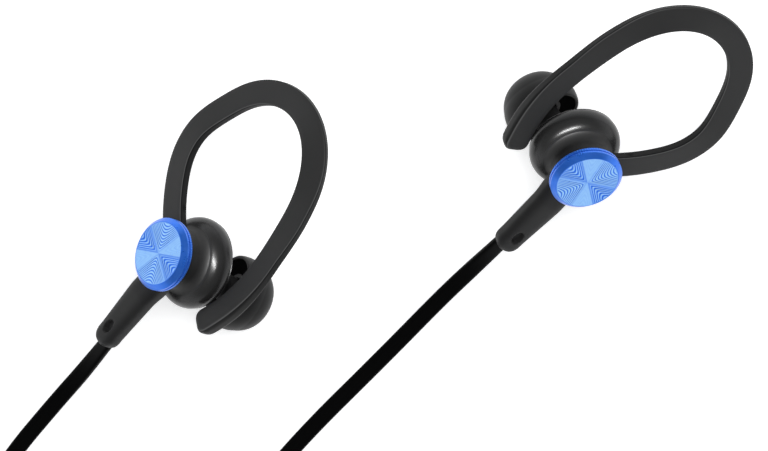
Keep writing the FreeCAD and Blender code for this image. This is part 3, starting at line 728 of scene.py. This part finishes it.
cap_face, cap_tone = cap_grid()
rear, rear_tone = rear_shell_grid()
front = front_shell_grids()
eartip, stem = eartip_grid(), stem_grid()
root, root_tone = hook_grid("root")
arm, arm_tone = hook_grid("arm")
shell_points, nozzle_points = (grid[..., 0].size for grid, _ in front)
front_tone = np.r_[np.ones(shell_points), np.zeros(nozzle_points)]
lit = {"left": bpy.data.collections.new("left earpiece"), "right": bpy.data.collections.new("right earpiece")}
for side in ("left", "right"):
    for name, grids, tone, sharp, finish, slot, body in (
            ("cap", [(cap_face, False)], cap_tone, 60, blue_metal, "blue_aluminium", "earphones"),
            ("rear_shell", [(rear, True)], rear_tone, 38, shell_plastic, "black_shell", "earphones"),
            ("front_shell", front, front_tone, 38, shell_plastic, "black_shell", "earphones"),
            ("eartip", [(eartip, True)], None, 38, silicone, "silicone", f"{side}_eartip"),
            ("stem", [(stem, False)], None, 50, stem_rubber, "soft_stem", "earphones"),
            ("hook_root", [(root, False)], root_tone, 38, hook_rubber, "hook_rubber", "earphones"),
            ("hook_arm", [(arm, False)], arm_tone, 38, hook_rubber, "hook_rubber", f"{side}_hook")):
        placed_grids = [(put(side, grid), loop) for grid, loop in grids]
        piece = mesh_object(f"{side}_{name}_look", placed_grids, sharp, tone)
        piece.data.materials.append(finish)
        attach(piece, body)
        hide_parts(f"{side}_{name}")
        if finish == shell_plastic:
            lit[side].objects.link(piece)

# ---------------------------------------------------------------- cables


def cable(name, points, exit_side, coil_from, coil_to):
    """Flat jacket swept along the route's spline. Its flat side follows the stem's face where it leaves the
    earpiece, lies up on the surface, and turns outwards where it is wound on edge."""
    twist_length, unwind_length = 16.0, 12.0
    line = smooth_line(points)
    line = line[np.r_[True, np.linalg.norm(np.diff(line, axis=0), axis=1) > 0.001]]
    run = distances(line)
    stem_face = attitude[exit_side][:, 2]
    leaving = (1 - smooth(run / twist_length))[:, None]
    up = np.array([0, 0, 1.0])
    hint = stem_face * leaving + up * (1 - leaving)
    if coil_to > coil_from:
        wound = smooth((run - coil_from + twist_length) / twist_length)
        wound = wound * (1 - smooth((run - coil_to) / unwind_length))
        outward = line - np.array([*coil_centre, 0])
        outward[:, 2] = 0
        hint = hint * (1 - wound[:, None]) + unit(outward) * wound[:, None]
    across, normal = frames(line, unit(hint))
    sizes = (np.full(len(line), size) for size in (cable_width, cable_thickness, cable_edge))
    grid = sweep(line, across, normal, *sizes, 28)
    piece = mesh_object(name, [(grid, False)])
    piece.data.materials.append(cable_jacket)
    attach(piece, "earphones")
    return piece, line


left_cable, left_line = cable("left_cable_look", left_route, "left", 0, 0)
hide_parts("left_cord")

winding = coil_route()
entry_run = distances(smooth_line(right_route))[-1]
whole_run = distances(smooth_line(right_route + winding + tail_route))[-1]
tail_run = distances(smooth_line(tail_route))[-1]
right_cable, right_line = cable("right_cable_look", right_route + winding + tail_route, "right",
                                entry_run, whole_run - tail_run)
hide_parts("right_cord", "right_cord_tail", "cord_coil")

# ---------------------------------------------------------------- tie and strain reliefs


tie_centre = (39.5, -50.0, 3.22)
tie_loop_width, tie_loop_height, tie_loop_corner = 4.56, 6.36, 0.9
tie_width, tie_thickness, tie_edge = 4.9, 0.4, 0.16


def tie_grid():
    """Soft strap as a closed loop round the coil's turns: a rounded rectangle swept by a thin rounded one."""
    around = 120
    x, z = (side.ravel() for side in section(tie_loop_width, tie_loop_height, tie_loop_corner, around))
    zero = np.zeros(around)
    ahead = np.c_[np.roll(x, -1) - np.roll(x, 1), np.roll(z, -1) - np.roll(z, 1)]
    out = unit(np.c_[ahead[:, 1], zero, -ahead[:, 0]])
    line = np.c_[x, zero, z] + tie_centre
    sizes = (np.full(around, size) for size in (tie_width, tie_thickness, tie_edge))
    return sweep(line, np.tile([0, 1.0, 0], (around, 1)), out, *sizes, 24)


tie = mesh_object("cord_tie_look", [(tie_grid(), True)])
tie.data.materials.append(tie_rubber)
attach(tie, "earphones")
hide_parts("cord_tie")


box_centre, box_half_length, cable_level = (-25.3, -64.7), 22.5, 2.6
boot_length, boot_plug_length, boot_plug_inset = 8.0, 1.4, 0.8
boot_width, boot_height, boot_width_taper, boot_height_taper = 5.4, 4.2, 1.6, 1.8
ring_pitch, ring_depth = 1.3, 0.3


def boot_grid(end):
    """Tapered strain relief whose sizes shrink along it, less the dips between its rings, the plug that
    sits in the box's wall and the rounding of its far lip. The end is -1 or 1, the box's left or right."""
    rows = 120
    reach = np.linspace(-boot_plug_length, boot_length, rows)
    share = np.clip(reach / boot_length, 0, 1)
    ringed = (reach > 1.6) & (reach < 7.2)
    dip = ring_depth * smooth(2.2 * (np.abs(np.sin(reach / ring_pitch * math.pi)) - 0.45)) * ringed
    plug = np.where(reach < 0, boot_plug_inset, 0)
    lip = 0.35 * smooth((reach - 7.6) / 0.4)
    width = boot_width - boot_width_taper * share - 2 * (dip + plug + lip)
    height = boot_height - boot_height_taper * share - 2 * (dip + plug + lip * 0.8)
    line = np.stack([box_centre[0] + end * (box_half_length + reach), np.full(rows, box_centre[1]),
                     np.full(rows, cable_level)], -1)
    across = np.tile([0, 1.0, 0], (rows, 1))
    normal = np.tile([0, 0, 1.0], (rows, 1))
    return sweep(line, across, normal, width, height, 0.42 * height, 64)


for side, end in (("left", -1), ("right", 1)):
    piece = mesh_object(f"{side}_cable_boot_look", [(boot_grid(end), False)])
    piece.data.materials.append(tie_rubber)
    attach(piece, "earphones")
    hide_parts(f"{side}_cable_boot")

# ---------------------------------------------------------------- pieces shown as designed

finishes = {
    "nozzle_mesh": screen_steel, "driver_frame": driver_plastic, "driver_yoke": steel,
    "driver_magnet": nickel,
    "voice_coil": copper, "diaphragm": film, "lead_wires": insulation, "control_top_shell": control_plastic,
    "control_bottom_shell": control_plastic, "circuit_board": board_green, "battery": foil,
    "charging_socket": steel, "charging_port_cover": tie_rubber, "tact_switches": steel, "light_pipe": clear,
    "microphone": nickel, "minus_button": key_rubber, "main_button": key_rubber, "plus_button": key_rubber,
}
for name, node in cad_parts.items():
    if node.hide_render:
        continue
    finish = finishes[name.removeprefix("left_").removeprefix("right_")]
    for place in node.material_slots:
        place.material = finish
    if not node.material_slots:
        node.data.materials.append(finish)

# ---------------------------------------------------------------- surface, light and surroundings

floor_finish = Finish("Pale surface", roughness=0.7, emission_strength=0.52)
floor_finish.set("Base Color", floor_finish.between(floor_finish.noise(6.0), grey(0.86), grey(0.88)))
floor_finish.set("Emission Color", floor_finish.between(floor_finish.noise(3.0), grey(0.99), grey(1.0)))
floor_reach = 3.0
floor_mesh = bpy.data.meshes.new("floor")
floor_corners = [(-floor_reach, -floor_reach, 0), (floor_reach, -floor_reach, 0),
                 (floor_reach, floor_reach, 0), (-floor_reach, floor_reach, 0)]
floor_mesh.from_pydata(floor_corners, [], [(0, 1, 2, 3)])
floor = bpy.data.objects.new("floor", floor_mesh)
scene.collection.objects.link(floor)
floor_mesh.materials.append(floor_finish.material)


light_aim = np.array([-0.006, 0.035, 0.01])


def soft_light(name, direction, distance, size, power, receivers=None):
    """Rectangular light panel in a direction from the earpieces, facing them, with its power in watts. Where
    receivers are given it lights these pieces alone."""
    lamp = bpy.data.lights.new(name, "AREA")
    lamp.shape = "RECTANGLE"
    lamp.size, lamp.size_y = size
    lamp.energy = power
    panel = bpy.data.objects.new(name, lamp)
    scene.collection.objects.link(panel)
    way = unit(np.array(direction, float))
    panel.location = light_aim + way * distance
    panel.rotation_euler = (math.acos(way[2]), 0, math.atan2(way[1], way[0]) + math.pi / 2)
    if receivers is not None:
        panel.light_linking.receiver_collection = receivers
    return panel


overhead = soft_light("overhead panel", (0.1, 0.2, 1.0), 1.1, (1.2, 1.2), 14.0)
overhead.visible_glossy = False
soft_light("left sheen panel", (-0.34, 0.21, 0.90), 0.9, (0.08, 0.50), 16.0, lit["left"])
soft_light("right sheen panel", (0.17, -0.36, 0.89), 0.9, (0.50, 0.08), 16.0, lit["right"])

horizon_strength, zenith_strength = 1.15, 0.2
surroundings = bpy.data.worlds.new("Surroundings")
scene.world = surroundings
sky = Graph(surroundings)
height = sky.node("ShaderNodeSeparateXYZ", {}, {
    0: sky.node("ShaderNodeTexCoord", {}, {})["Generated"]})["Z"]
background = sky.nodes["Background"]
background.inputs["Color"].default_value = (0.95, 0.97, 1.0, 1)
sky.feed(background.inputs["Strength"],
         horizon_strength - sky.ramp(height, 0.12, 0.5) * (horizon_strength - zenith_strength))
scene.view_settings.view_transform = "Standard"
